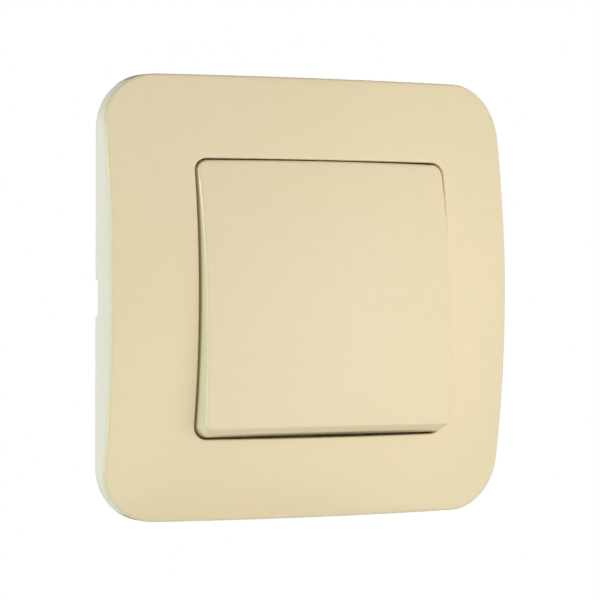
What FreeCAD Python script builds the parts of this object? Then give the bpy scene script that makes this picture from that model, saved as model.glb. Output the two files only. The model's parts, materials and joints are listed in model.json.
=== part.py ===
import FreeCAD, Part
import math
import os

# Flush wall switch with a wide rocker key, for a round 60 mm wall box. Millimetres.
# X runs to the right as the user sees it, Y runs into the wall and Z runs up.
# The origin is the middle of the box screws' circle, on the wall's face (Y = 0),
# so what stands out of the wall has negative Y and what sits in the box has positive Y.

# ---- cover frame ----
PLATE_HALF = 41.0             # half of the square plate
PLATE_CORNER_R = 10.0
SIDE_DRAFT = 0.02             # how far a side leans in per millimetre of height
FRAME_CROWN = 15.15           # height that the domed front would reach in the middle
BOW_X = 0.00447               # drop of the dome: BOW_X x^2 + BOW_Z z^2 - BOW_XZ x^2 z^2
BOW_Z = 0.00412
BOW_XZ = 0.40e-6
FRAME_WALL = 2.0
FRAME_EDGE_R = 0.8
OPENING_HALF_X = 25.8
OPENING_HALF_Z = 25.6
OPENING_CORNER_R = 2.4
SLEEVE_WALL = 1.5             # collar round the opening
SLEEVE_REAR = -5.5
NOTCH_LENGTH = 7.4            # prying notch in the rear edge, left and right
NOTCH_DEPTH = 1.1
NOTCH_SLOPE = 0.7
NOTCH_REACH = 4.0             # how far in from the side it cuts
LEG_X = 7.5                   # snap legs that hold the frame in the strap
LEG_WIDTH = 5.0
LEG_INNER_Z = 25.95
LEG_OUTER_Z = 27.15
LEG_REAR = 1.7
LEG_LEAD = 0.4                # slope at the leg's end that guides it into the slot
BARB_OUTER_Z = 27.95
BARB_FRONT = 0.25
BARB_REAR = 0.9
RIB_PLACES = (-20.0, 20.0)    # stiffening ribs between the collar and each side
RIB_THICK = 1.0
RIB_REAR = -2.2

# ---- rocker key and what tilts with it ----
PIVOT_Y = -8.5                # the key tilts about the X axis through (PIVOT_Y, Z = 0)
REST_TILT = -4.6              # degrees: top pressed in, bottom out
KEY_PROUD = 2.25              # crown of the key above the frame's dome
KEY_HALF_X = 25.3             # at the rear edge
KEY_HALF_Z = 25.15
KEY_CORNER_R = 2.2
KEY_REAR = -6.4
KEY_WALL = 1.8
INNER_CORNER_EXTRA = 0.4      # the hollow's corners are this much rounder
KEY_EDGE_R = 0.7
KEY_RIB_Z = 6.0               # ribs under the key, above and below its middle
KEY_RIB_THICK = 1.2
BEVEL_HEIGHT = 1.0            # finger bevel along the lower front edge
BEVEL_DEPTH = 1.5
CARRIER_HALF_X = 13.4
CARRIER_HALF_Z = 9.0
CARRIER_FRONT = -12.5
CARRIER_REAR = -10.6
CHEEK_THICK = 2.0
CHEEK_R = 3.0
TRUNNION_R = 1.6
TRUNNION_END = 16.9
TUBE_R = 4.2
TUBE_BORE_R = 2.5
TUBE_REAR = -1.6
TUBE_BORE_FRONT = -11.0
PLUNGER_R = 2.42
PLUNGER_FRONT = -5.4
PLUNGER_SHOULDER = 1.2
PLUNGER_TIP_R = 1.6
PLUNGER_TIP = 4.85
PLUNGER_NECK = 0.4            # straight stretch between the taper and the ball
SPRING_R = 1.9
SPRING_WIRE_R = 0.32
SPRING_TURNS = 5
POST_X = 8.0                  # snap posts under the key that grip the carrier
POST_WIDTH = 4.0
POST_THICK = 1.6
POST_REAR = -9.3
POST_GAP = 0.05
POST_HOOK = 0.6               # how far a post reaches under the carrier
POST_HOOK_LAND = 0.4
POST_LEAD = 0.3

# ---- strap ----
STRAP_HALF = 35.5
STRAP_CORNER_R = 8.0
STRAP_THICK = 1.0
STRAP_APERTURE_X = 14.5
STRAP_APERTURE_Z = 15.5
STRAP_APERTURE_R = 1.0
BOX_SCREW_PCD = 60.0
BOX_SCREW_HOLE_R = 2.1
SLOT_INNER_GAP = 0.05         # room round a snap leg in its slot
SLOT_OUTER_GAP = 0.45
SLOT_SIDE_GAP = 0.1

# ---- mechanism housing ----
BASE_HALF = 19.5
BASE_DEPTH = 22.0
BASE_CHAMFER = 2.0
CHAMBER_HALF_X = 14.2         # front pocket that holds the contact strips
CHAMBER_TOP = 12.6
CHAMBER_BOTTOM = -14.0
STRIP_FRONT = 8.6
STRIP_THICK = 1.0
CONTACT_STOP_FRONT = 7.0      # post that the open contact rests on
CONTACT_STOP_MARGIN = 0.5
COVER_HALF_X = 18.5
COVER_CORNER_R = 1.5
COVER_FRONT = -3.0
COVER_WINDOW_X = 5.5
COVER_WINDOW_Z = 6.5
LUG_INNER_X = 14.6
LUG_OUTER_X = 17.1
LUG_HALF_Z = 3.6
LUG_HOLE_R = 1.68
RIVET_PLACE = 16.9
RIVET_R = 1.25
RIVET_HOLE_R = 1.3
RIVET_HEAD_R = 2.1
RIVET_HEAD = 0.8

# ---- contacts ----
CONTACT_PIVOT_Y = 5.8
CONTACT_REST_TILT = 6.0       # degrees: upper end away from the fixed contact
CONTACT_HALF_X = 3.0
CONTACT_HALF_Z = 9.0
CONTACT_THICK = 0.8
CONTACT_CORNER_R = 1.0
CONTACT_TIP_Z = 7.5
MOVING_TIP_R = 1.5
MOVING_TIP_THICK = 0.8
FIXED_TIP_R = 1.75
FIXED_TIP_FRONT = 7.65
KNIFE_R = 0.3                 # round top of the knife edge that the contact rocks on
KNIFE_GROOVE_R = 0.36
KNIFE_FOOT_HALF_Z = 1.5
CHEEK_GAP = 0.3               # cheeks that keep the contact rocker on the knife edge
CONTACT_CHEEK_THICK = 0.8
CONTACT_CHEEK_HALF_Z = 1.2
CONTACT_CHEEK_FRONT = 4.6
COMMON_ARM_HALF_Z = 3.0
LOAD_ARM_LOW_Z = 5.0
LOAD_ARM_HIGH_Z = 11.0

# ---- terminals: a cage rises on a captive screw and clamps the wire to the strip ----
TERMINAL_X = 12.0
TONGUE_HALF_X = 2.0
TONGUE_END_Z = -16.4
TONGUE_TOP_Z = -8.0
CAGE_HALF_X = 3.2
CAGE_LOW_Z = -16.2
CAGE_HIGH_Z = -9.6
CAGE_FRONT = 5.2
CAGE_REAR = 14.0
CAGE_WALL = 1.0
CAGE_THREAD_WALL = 2.0
CAGE_SIDE = 0.9
COMPARTMENT_HALF_X = 3.6
COMPARTMENT_LOW_Z = -17.0
COMPARTMENT_HIGH_Z = -8.8
COMPARTMENT_FRONT = 4.2
COMPARTMENT_REAR = 17.0
SCREW_SHELF = 18.5            # rear face of the wall that the terminal screw's head rests on
SCREW_BORE_R = 3.4
SCREW_SHANK_R = 1.75
SCREW_HEAD_R = 3.0
SCREW_HEAD = 2.0
SCREW_HEAD_EDGE_R = 0.4
SCREW_SLOT = 0.9
SCREW_SLOT_WIDTH = 0.8
SCREW_PASS_R = 2.1
THREAD_R = 1.83
WIRE_Y = 7.4
WIRE_ENTRY_R = 1.15
FUNNEL_R = 1.95
FUNNEL_DEPTH = 0.8
SCREW_COLLAR_R = 4.1          # raised rings round the screw bores on the housing's rear
SCREW_COLLAR = 0.6
REAR_PANEL_X = 6.5            # shallow panel in the middle of the housing's rear
REAR_PANEL_Z = 11.0
REAR_PANEL_R = 1.0
REAR_PANEL_DEPTH = 0.5

# ---- spreading claws: a nut pulls each claw forward, up a ramp on the housing ----
CLAW_SCREW_X = 23.0
CLAW_SCREW_END = 24.0
CLAW_SLOPE = 0.4              # outward travel per millimetre forward
RAMP_TOP_X = 23.1
RAMP_FRONT_Y = 1.0
RAMP_TOP_Y = 3.0
RAMP_FOOT_Y = 12.0
RAMP_GAP = 0.15
CLAW_INNER_X = 20.4
CLAW_OUTER_X = 27.5
CLAW_FRONT = 8.0
CLAW_REAR = 19.9
CLAW_CHEEK_IN = 3.0
CLAW_CHEEK_OUT = 4.2
CLAW_WEB_FRONT = 16.4
CLAW_WEB_THICK = 1.5
TOOTH_PITCH = 2.0
TOOTH_DEPTH = 0.8
TEETH = 4
NUT_HALF = 2.8
NUT_THICK = 2.4
NUT_CHAMFER = 0.4
FACE_GAP = 0.05               # between flat faces that slide on each other

# ---- cutting and joining ----
BEYOND = 1.0                  # how far a cutter runs past what it cuts
ROOT = 0.5                    # how far a joined piece runs into its neighbour
FAR_FRONT = -20.0             # in front of everything

INTO_WALL = FreeCAD.Vector(0, 1, 0)
TO_RIGHT = FreeCAD.Vector(1, 0, 0)
UP = FreeCAD.Vector(0, 0, 1)


def point(x, y, z):
    return FreeCAD.Vector(x, y, z)


def block(x0, x1, y0, y1, z0, z1):
    return Part.makeBox(x1 - x0, y1 - y0, z1 - z0, point(x0, y0, z0))


def rod(radius, y0, y1, x=0.0, z=0.0):
    """Cylinder along Y."""
    return Part.makeCylinder(radius, y1 - y0, point(x, y0, z), INTO_WALL)


def cross_rod(radius, x0, x1, y, z):
    """Cylinder along X."""
    return Part.makeCylinder(radius, x1 - x0, point(x0, y, z), TO_RIGHT)


def rounded_outline(half_x, half_z, radius, y):
    """Closed rectangle with round corners, in the plane Y = y."""
    k = radius * (1 - math.sqrt(0.5))
    edges = []
    corners = [(1, 1), (-1, 1), (-1, -1), (1, -1)]
    for i, (sx, sz) in enumerate(corners):
        nx, nz = corners[(i + 1) % 4]
        on_z_side = point(sx * half_x, y, sz * (half_z - radius))
        on_x_side = point(sx * (half_x - radius), y, sz * half_z)
        middle = point(sx * (half_x - k), y, sz * (half_z - k))
        first, last = (on_z_side, on_x_side) if sx == sz else (on_x_side, on_z_side)
        edges.append(Part.Arc(first, middle, last).toShape())
        if sx == sz:
            following = point(nx * (half_x - radius), y, nz * half_z)
        else:
            following = point(nx * half_x, y, nz * (half_z - radius))
        edges.append(Part.makeLine(last, following))
    return Part.Wire(edges)


def extruded(outline, path):
    """Prism over the polygon through the given points."""
    return Part.Face(Part.makePolygon(outline + outline[:1])).extrude(path)


def edges_along_y(shape):
    return [edge for edge in shape.Edges if abs(edge.tangentAt(edge.FirstParameter).y) > 0.99]


def rounded_block(half_x, half_z, radius, y0, y1):
    face = Part.Face(rounded_outline(half_x, half_z, radius, y0))
    return face.extrude(point(0, y1 - y0, 0))


def drafted_block(half_x, half_z, radius, rear, front, inset=0.0):
    """Rounded block whose sides lean in from its rear face to its front face."""
    lean = SIDE_DRAFT * (rear - front)
    wires = []
    for y, extra in ((rear, 0.0), (front, lean)):
        shrink = inset + extra
        wires.append(rounded_outline(half_x - shrink, half_z - shrink, radius - shrink, y))
    return Part.makeLoft(wires, True, True)


def behind_dome(crown, half=45.0, rear=3.0):
    """Everything between the domed surface and the plane Y = rear, out to half on each side."""
    squares = (half ** 2, -half ** 2, half ** 2)      # Bezier poles of t^2 over the span
    places = (-half, 0.0, half)
    poles = []
    for x, qx in zip(places, squares):
        row = []
        for z, qz in zip(places, squares):
            height = crown - BOW_X * qx - BOW_Z * qz + BOW_XZ * qx * qz
            row.append(point(x, -height, z))
        poles.append(row)
    surface = Part.BezierSurface()
    surface.increase(2, 2)
    for i in range(3):
        for j in range(3):
            surface.setPole(i + 1, j + 1, poles[i][j])
    deep = surface.toShape().extrude(point(0, 4 * -FAR_FRONT, 0))
    return deep.common(block(-half, half, 2 * FAR_FRONT, rear, -half, half))


def dome_height(crown, x, z):
    return crown - BOW_X * x ** 2 - BOW_Z * z ** 2 + BOW_XZ * x ** 2 * z ** 2


def fillet_front_rim(shape, radius, crown, half_x, half_z):
    """Round the edges that lie on the dome near the given outline."""
    rim = []
    for edge in shape.Edges:
        middle = edge.valueAt(0.5 * (edge.FirstParameter + edge.LastParameter))
        on_dome = abs(-middle.y - dome_height(crown, middle.x, middle.z)) < 0.05
        outside = abs(middle.x) > half_x or abs(middle.z) > half_z
        if on_dome and outside:
            rim.append(edge)
    return shape.makeFillet(radius, rim)


def tilted(shape, degrees, pivot_y):
    turned = shape.copy()
    turned.rotate(point(0, pivot_y, 0), TO_RIGHT, degrees)
    return turned


def mirrored(shape):
    return shape.mirror(point(0, 0, 0), TO_RIGHT)


def pry_notch(side):
    """Shallow notch with sloped ends in the rear edge of one side."""
    half = 0.5 * NOTCH_LENGTH
    outline = [
        point(0, BEYOND, -half), point(0, 0, -half), point(0, -NOTCH_DEPTH, -half + NOTCH_SLOPE),
        point(0, -NOTCH_DEPTH, half - NOTCH_SLOPE), point(0, 0, half), point(0, BEYOND, half),
    ]
    notch = extruded(outline, point(NOTCH_REACH + BEYOND, 0, 0))
    notch.translate(point(PLATE_HALF - NOTCH_REACH if side > 0 else -PLATE_HALF - BEYOND, 0, 0))
    return notch


def snap_leg(side_x, side_z):
    """Leg from the opening's collar through the strap, with a barb behind it."""
    x0 = side_x * LEG_X - 0.5 * LEG_WIDTH
    root = SLEEVE_REAR - ROOT
    profile = [
        (root, LEG_INNER_Z), (LEG_REAR, LEG_INNER_Z), (LEG_REAR, LEG_OUTER_Z - LEG_LEAD),
        (BARB_REAR, BARB_OUTER_Z), (BARB_FRONT, BARB_OUTER_Z), (BARB_FRONT, LEG_OUTER_Z),
        (root, LEG_OUTER_Z),
    ]
    outline = [point(x0, y, side_z * z) for y, z in profile]
    return extruded(outline, point(LEG_WIDTH, 0, 0))


def frame_ribs(inside):
    """Ribs across the hollow between the collar and the outer wall."""
    ribs = []
    reach = PLATE_HALF - 0.5 * FRAME_WALL
    half = 0.5 * RIB_THICK
    for side in (-1, 1):
        near, far = sorted((side * (OPENING_HALF_X + ROOT), side * reach))
        for place in RIB_PLACES:
            ribs.append(block(near, far, FAR_FRONT, RIB_REAR, place - half, place + half))
            ribs.append(block(place - half, place + half, FAR_FRONT, RIB_REAR, near, far))
    return [rib.common(inside) for rib in ribs]


def cover_frame():
    outer = drafted_block(PLATE_HALF, PLATE_HALF, PLATE_CORNER_R, 0.0, FAR_FRONT)
    shell = outer.common(behind_dome(FRAME_CROWN))
    shell = fillet_front_rim(shell, FRAME_EDGE_R, FRAME_CROWN, OPENING_HALF_X, OPENING_HALF_Z)
    inside = drafted_block(PLATE_HALF, PLATE_HALF, PLATE_CORNER_R, BEYOND, FAR_FRONT, inset=FRAME_WALL)
    inside = inside.common(behind_dome(FRAME_CROWN - FRAME_WALL))
    collar = rounded_block(OPENING_HALF_X + SLEEVE_WALL, OPENING_HALF_Z + SLEEVE_WALL,
                           OPENING_CORNER_R + SLEEVE_WALL, FAR_FRONT - BEYOND, SLEEVE_REAR)
    opening = rounded_block(OPENING_HALF_X, OPENING_HALF_Z, OPENING_CORNER_R,
                            FAR_FRONT - BEYOND, BEYOND)
    for rib in frame_ribs(inside):
        inside = inside.cut(rib)
    shell = shell.cut(inside.cut(collar)).cut(opening)
    for side in (-1, 1):
        shell = shell.cut(pry_notch(side))
        for side_x in (-1, 1):
            shell = shell.fuse(snap_leg(side_x, side))
    return shell


def lower_bevel():
    """Wedge that cuts the finger bevel off the key's lower front edge."""
    lean = SIDE_DRAFT * (-KEY_REAR + dome_height(FRAME_CROWN + KEY_PROUD, 0, KEY_HALF_Z))
    wall_z = -(KEY_HALF_Z - lean)
    edge_y = -dome_height(FRAME_CROWN + KEY_PROUD, 0, KEY_HALF_Z)
    run = BEVEL_HEIGHT / BEVEL_DEPTH
    end_x = KEY_HALF_X + BEYOND
    rear_y = edge_y + BEVEL_DEPTH
    front_y = edge_y - 2 * BEVEL_DEPTH
    outline = [
        point(-end_x, rear_y, wall_z), point(-end_x, front_y, wall_z + run * (rear_y - front_y)),
        point(-end_x, front_y, wall_z - BEYOND), point(-end_x, rear_y, wall_z - BEYOND),
    ]
    return extruded(outline, point(2 * end_x, 0, 0))


def snap_post(side_x, side_z):
    """Post under the key that hooks behind the carrier's plate."""
    x0 = side_x * POST_X - 0.5 * POST_WIDTH
    inner = CARRIER_HALF_Z + POST_GAP
    hook = CARRIER_REAR + POST_GAP
    tip = inner - POST_HOOK
    outer = inner + POST_THICK
    profile = [
        (FAR_FRONT, inner), (hook, inner), (hook, tip), (hook + POST_HOOK_LAND, tip),
        (POST_REAR, inner + POST_LEAD), (POST_REAR, outer), (FAR_FRONT, outer),
    ]
    outline = [point(x0, y, side_z * z) for y, z in profile]
    return extruded(outline, point(POST_WIDTH, 0, 0))


def rocker_key():
    crown = FRAME_CROWN + KEY_PROUD
    outer = drafted_block(KEY_HALF_X, KEY_HALF_Z, KEY_CORNER_R, KEY_REAR, FAR_FRONT)
    key = outer.common(behind_dome(crown))
    key = fillet_front_rim(key, KEY_EDGE_R, crown, CARRIER_HALF_X, CARRIER_HALF_X)
    key = key.cut(lower_bevel())
    inside = drafted_block(KEY_HALF_X, KEY_HALF_Z, KEY_CORNER_R + INNER_CORNER_EXTRA,
                           KEY_REAR + BEYOND, FAR_FRONT, inset=KEY_WALL)
    key = key.cut(inside.common(behind_dome(crown - KEY_WALL)))
    skin = behind_dome(crown - 0.5 * KEY_WALL)
    for side in (-1, 1):
        z0 = side * KEY_RIB_Z - 0.5 * KEY_RIB_THICK
        rib = block(-CARRIER_HALF_X, CARRIER_HALF_X, FAR_FRONT, CARRIER_FRONT, z0, z0 + KEY_RIB_THICK)
        key = key.fuse(rib.common(skin))
        for side_x in (-1, 1):
            key = key.fuse(snap_post(side_x, side).common(skin))
    return tilted(key, REST_TILT, PIVOT_Y)


def rocker_carrier():
    plate = block(-CARRIER_HALF_X, CARRIER_HALF_X, CARRIER_FRONT, CARRIER_REAR,
                  -CARRIER_HALF_Z, CARRIER_HALF_Z)
    carrier = plate.fuse(rod(TUBE_R, CARRIER_FRONT, TUBE_REAR))
    for side in (-1, 1):
        x0, x1 = sorted((side * (CARRIER_HALF_X - CHEEK_THICK), side * CARRIER_HALF_X))
        cheek = block(x0, x1, CARRIER_REAR, PIVOT_Y, -CHEEK_R, CHEEK_R)
        cheek = cheek.fuse(cross_rod(CHEEK_R, x0, x1, PIVOT_Y, 0))
        pin_x0, pin_x1 = sorted((side * (CARRIER_HALF_X - CHEEK_THICK), side * TRUNNION_END))
        pin = cross_rod(TRUNNION_R, pin_x0, pin_x1, PIVOT_Y, 0)
        carrier = carrier.fuse(cheek).fuse(pin)
    carrier = carrier.cut(rod(TUBE_BORE_R, TUBE_BORE_FRONT, TUBE_REAR + BEYOND))
    return tilted(carrier, REST_TILT, PIVOT_Y)


def plunger():
    """Round-nosed follower: guide barrel, taper and ball tip, turned about its axis."""
    ball_y = PLUNGER_TIP - PLUNGER_TIP_R
    taper_y = ball_y - PLUNGER_NECK
    nose = point(PLUNGER_TIP_R * math.sqrt(0.5), ball_y + PLUNGER_TIP_R * math.sqrt(0.5), 0)
    edges = [
        Part.makeLine(point(0, PLUNGER_FRONT, 0), point(PLUNGER_R, PLUNGER_FRONT, 0)),
        Part.makeLine(point(PLUNGER_R, PLUNGER_FRONT, 0), point(PLUNGER_R, PLUNGER_SHOULDER, 0)),
        Part.makeLine(point(PLUNGER_R, PLUNGER_SHOULDER, 0), point(PLUNGER_TIP_R, taper_y, 0)),
        Part.makeLine(point(PLUNGER_TIP_R, taper_y, 0), point(PLUNGER_TIP_R, ball_y, 0)),
        Part.Arc(point(PLUNGER_TIP_R, ball_y, 0), nose, point(0, PLUNGER_TIP, 0)).toShape(),
        Part.makeLine(point(0, PLUNGER_TIP, 0), point(0, PLUNGER_FRONT, 0)),
    ]
    body = Part.Face(Part.Wire(edges)).revolve(point(0, 0, 0), INTO_WALL, 360)
    return tilted(body, REST_TILT, PIVOT_Y)


def plunger_spring():
    """Compression spring between the bore's end and the plunger."""
    free = PLUNGER_FRONT - TUBE_BORE_FRONT - 2 * (SPRING_WIRE_R + FACE_GAP)
    path = Part.makeHelix(free / SPRING_TURNS, free, SPRING_R)
    section = Part.Wire(Part.makeCircle(SPRING_WIRE_R, point(SPRING_R, 0, 0), INTO_WALL))
    sweep = Part.BRepOffsetAPI.MakePipeShell(Part.Wire(path))
    sweep.setFrenetMode(True)
    sweep.add(section)
    sweep.build()
    sweep.makeSolid()
    coil = sweep.shape()
    coil.rotate(point(0, 0, 0), TO_RIGHT, -90)
    coil.translate(point(0, TUBE_BORE_FRONT + SPRING_WIRE_R + FACE_GAP, 0))
    return tilted(coil, REST_TILT, PIVOT_Y)


def mounting_strap():
    strap = rounded_block(STRAP_HALF, STRAP_HALF, STRAP_CORNER_R, -STRAP_THICK, 0.0)
    y0, y1 = -STRAP_THICK - BEYOND, BEYOND
    strap = strap.cut(rounded_block(STRAP_APERTURE_X, STRAP_APERTURE_Z, STRAP_APERTURE_R, y0, y1))
    radius = 0.5 * BOX_SCREW_PCD
    for x, z in ((radius, 0), (-radius, 0), (0, radius), (0, -radius)):
        strap = strap.cut(rod(BOX_SCREW_HOLE_R, y0, y1, x, z))
    slot_half = 0.5 * LEG_WIDTH + SLOT_SIDE_GAP
    for side in (-1, 1):
        strap = strap.cut(rod(SCREW_PASS_R, y0, y1, side * CLAW_SCREW_X, 0))
        for side_z in (-1, 1):
            slot_edges = (LEG_INNER_Z - SLOT_INNER_GAP, LEG_OUTER_Z + SLOT_OUTER_GAP)
            z0, z1 = sorted(side_z * edge for edge in slot_edges)
            strap = strap.cut(block(side * LEG_X - slot_half, side * LEG_X + slot_half, y0, y1, z0, z1))
            strap = strap.cut(rod(RIVET_HOLE_R, y0, y1, side * RIVET_PLACE, side_z * RIVET_PLACE))
    return strap


def claw_cheeks(outline):
    """Two equal plates of the given outline, above and below the claw screw."""
    upper = extruded(outline, point(0, 0, CLAW_CHEEK_OUT - CLAW_CHEEK_IN))
    upper.translate(point(0, 0, CLAW_CHEEK_IN))
    lower = upper.copy()
    lower.translate(point(0, 0, -CLAW_CHEEK_IN - CLAW_CHEEK_OUT))
    return [upper, lower]


def claw_ramp(side):
    """Pair of wedge ribs on the housing's side, with the claw screw between them."""
    outline = [
        point(BASE_HALF - ROOT, RAMP_FRONT_Y, 0), point(RAMP_TOP_X, RAMP_FRONT_Y, 0),
        point(RAMP_TOP_X, RAMP_TOP_Y, 0), point(BASE_HALF, RAMP_FOOT_Y, 0),
        point(BASE_HALF - ROOT, RAMP_FOOT_Y, 0),
    ]
    pair = Part.makeCompound(claw_cheeks(outline))
    return pair if side > 0 else mirrored(pair)


def mechanism_base():
    base = block(-BASE_HALF, BASE_HALF, 0, BASE_DEPTH, -BASE_HALF, BASE_HALF)
    base = base.makeChamfer(BASE_CHAMFER, edges_along_y(base))
    floor = STRIP_FRONT + STRIP_THICK
    past_rear = BASE_DEPTH + BEYOND
    base = base.cut(block(-CHAMBER_HALF_X, CHAMBER_HALF_X, -BEYOND, floor, CHAMBER_BOTTOM, CHAMBER_TOP))
    stop = block(-CONTACT_HALF_X, CONTACT_HALF_X, CONTACT_STOP_FRONT, floor + ROOT,
                 -CONTACT_HALF_Z - CONTACT_STOP_MARGIN, -CONTACT_TIP_Z)
    base = base.fuse(stop)
    panel_floor = BASE_DEPTH - REAR_PANEL_DEPTH
    base = base.cut(rounded_block(REAR_PANEL_X, REAR_PANEL_Z, REAR_PANEL_R, panel_floor, past_rear))
    for side in (-1, 1):
        x = side * TERMINAL_X
        base = base.cut(block(x - COMPARTMENT_HALF_X, x + COMPARTMENT_HALF_X, COMPARTMENT_FRONT,
                              COMPARTMENT_REAR, COMPARTMENT_LOW_Z, COMPARTMENT_HIGH_Z))
        screw_z = 0.5 * (CAGE_LOW_Z + CAGE_HIGH_Z)
        base = base.fuse(rod(SCREW_COLLAR_R, BASE_DEPTH - ROOT, BASE_DEPTH + SCREW_COLLAR, x, screw_z))
        base = base.cut(rod(SCREW_PASS_R, COMPARTMENT_REAR - BEYOND, BASE_DEPTH, x, screw_z))
        base = base.cut(rod(SCREW_BORE_R, SCREW_SHELF, past_rear, x, screw_z))
        entry_length = COMPARTMENT_LOW_Z + BASE_HALF + BEYOND
        entry = Part.makeCylinder(WIRE_ENTRY_R, entry_length, point(x, WIRE_Y, -BASE_HALF), UP)
        funnel = Part.makeCone(FUNNEL_R, WIRE_ENTRY_R, FUNNEL_DEPTH, point(x, WIRE_Y, -BASE_HALF), UP)
        base = base.cut(entry).cut(funnel)
        for part in claw_ramp(side).Solids:
            base = base.fuse(part)
        for side_z in (-1, 1):
            base = base.cut(rod(RIVET_HOLE_R, -BEYOND, past_rear, side * RIVET_PLACE, side_z * RIVET_PLACE))
    return base


def mechanism_cover():
    """Front plate of the mechanism, with the two lugs that the key's trunnions turn in."""
    cover = block(-COVER_HALF_X, COVER_HALF_X, COVER_FRONT, -STRAP_THICK, -BASE_HALF, BASE_HALF)
    cover = cover.makeFillet(COVER_CORNER_R, edges_along_y(cover))
    y0 = COVER_FRONT - BEYOND
    cover = cover.cut(rounded_block(COVER_WINDOW_X, COVER_WINDOW_Z, COVER_CORNER_R, y0, 0.0))
    for side in (-1, 1):
        x0, x1 = sorted((side * LUG_INNER_X, side * LUG_OUTER_X))
        lug = block(x0, x1, PIVOT_Y, COVER_FRONT + ROOT, -LUG_HALF_Z, LUG_HALF_Z)
        lug = lug.fuse(cross_rod(LUG_HALF_Z, x0, x1, PIVOT_Y, 0))
        cover = cover.fuse(lug.cut(cross_rod(LUG_HOLE_R, x0 - BEYOND, x1 + BEYOND, PIVOT_Y, 0)))
        for side_z in (-1, 1):
            cover = cover.cut(rod(RIVET_HOLE_R, y0, 0, side * RIVET_PLACE, side_z * RIVET_PLACE))
    return cover


def housing_rivets():
    rivets = []
    for side_x in (-1, 1):
        for side_z in (-1, 1):
            x, z = side_x * RIVET_PLACE, side_z * RIVET_PLACE
            rivet = rod(RIVET_R, COVER_FRONT, BASE_DEPTH, x, z)
            rivet = rivet.fuse(rod(RIVET_HEAD_R, COVER_FRONT - RIVET_HEAD, COVER_FRONT, x, z))
            rivet = rivet.fuse(rod(RIVET_HEAD_R, BASE_DEPTH, BASE_DEPTH + RIVET_HEAD, x, z))
            rivets.append(rivet.removeSplitter())
    return Part.makeCompound(rivets)


def contact_rocker():
    """Brass strip that rocks on the knife edge; the plunger slides on its front."""
    strip = block(-CONTACT_HALF_X, CONTACT_HALF_X, CONTACT_PIVOT_Y - CONTACT_THICK, CONTACT_PIVOT_Y,
                  -CONTACT_HALF_Z, CONTACT_HALF_Z)
    strip = strip.makeFillet(CONTACT_CORNER_R, edges_along_y(strip))
    end_x = CONTACT_HALF_X + BEYOND
    groove = cross_rod(KNIFE_GROOVE_R, -end_x, end_x, CONTACT_PIVOT_Y, 0)
    return tilted(strip.cut(groove), CONTACT_REST_TILT, CONTACT_PIVOT_Y)


def moving_contact_tip():
    tip = rod(MOVING_TIP_R, CONTACT_PIVOT_Y, CONTACT_PIVOT_Y + MOVING_TIP_THICK, 0, CONTACT_TIP_Z)
    return tilted(tip, CONTACT_REST_TILT, CONTACT_PIVOT_Y)


def fixed_contact_tip():
    return rod(FIXED_TIP_R, FIXED_TIP_FRONT, STRIP_FRONT, 0, CONTACT_TIP_Z)


def terminal_tongue(side):
    x = side * TERMINAL_X
    return block(x - TONGUE_HALF_X, x + TONGUE_HALF_X, STRIP_FRONT, STRIP_FRONT + STRIP_THICK,
                 TONGUE_END_Z, TONGUE_TOP_Z)


def common_terminal_strip():
    """Strip from the left terminal to the knife edge that the contact rocks on."""
    rear = STRIP_FRONT + STRIP_THICK
    outer = -TERMINAL_X - TONGUE_HALF_X
    strip = terminal_tongue(-1)
    cheek_in = CONTACT_HALF_X + CHEEK_GAP
    cheek_out = cheek_in + CONTACT_CHEEK_THICK
    arm = COMMON_ARM_HALF_Z
    strip = strip.fuse(block(outer, outer + 2 * TONGUE_HALF_X, STRIP_FRONT, rear, TONGUE_TOP_Z - ROOT, arm))
    strip = strip.fuse(block(outer, cheek_out, STRIP_FRONT, rear, -arm, arm))
    x0, foot_y, foot_z = -CONTACT_HALF_X, STRIP_FRONT + ROOT, KNIFE_FOOT_HALF_Z
    outline = [point(x0, CONTACT_PIVOT_Y, -KNIFE_R), point(x0, CONTACT_PIVOT_Y, KNIFE_R),
               point(x0, foot_y, foot_z), point(x0, foot_y, -foot_z)]
    knife = extruded(outline, point(2 * CONTACT_HALF_X, 0, 0))
    knife = knife.fuse(cross_rod(KNIFE_R, -CONTACT_HALF_X, CONTACT_HALF_X, CONTACT_PIVOT_Y, 0))
    strip = strip.fuse(knife)
    for side in (-1, 1):
        x0, x1 = sorted((side * cheek_in, side * cheek_out))
        cheek = block(x0, x1, CONTACT_CHEEK_FRONT, STRIP_FRONT + ROOT,
                      -CONTACT_CHEEK_HALF_Z, CONTACT_CHEEK_HALF_Z)
        strip = strip.fuse(cheek)
    return strip.removeSplitter()


def load_terminal_strip():
    """Strip from the right terminal up and across to the fixed contact."""
    rear = STRIP_FRONT + STRIP_THICK
    strip = terminal_tongue(1)
    outer = TERMINAL_X + TONGUE_HALF_X
    strip = strip.fuse(block(outer - 2 * TONGUE_HALF_X, outer, STRIP_FRONT, rear,
                             TONGUE_TOP_Z - ROOT, LOAD_ARM_HIGH_Z))
    strip = strip.fuse(block(-CONTACT_HALF_X, outer, STRIP_FRONT, rear, LOAD_ARM_LOW_Z, LOAD_ARM_HIGH_Z))
    return strip.removeSplitter()


def terminal_cage(side):
    x = side * TERMINAL_X
    z_mid = 0.5 * (CAGE_LOW_Z + CAGE_HIGH_Z)
    cage = block(x - CAGE_HALF_X, x + CAGE_HALF_X, CAGE_FRONT, CAGE_REAR, CAGE_LOW_Z, CAGE_HIGH_Z)
    cage = cage.cut(block(x - CAGE_HALF_X + CAGE_SIDE, x + CAGE_HALF_X - CAGE_SIDE, CAGE_FRONT + CAGE_WALL,
                          CAGE_REAR - CAGE_THREAD_WALL, CAGE_LOW_Z - BEYOND, CAGE_HIGH_Z + BEYOND))
    return cage.cut(rod(THREAD_R, CAGE_REAR - CAGE_THREAD_WALL - BEYOND, CAGE_REAR + BEYOND, x, z_mid))


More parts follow.
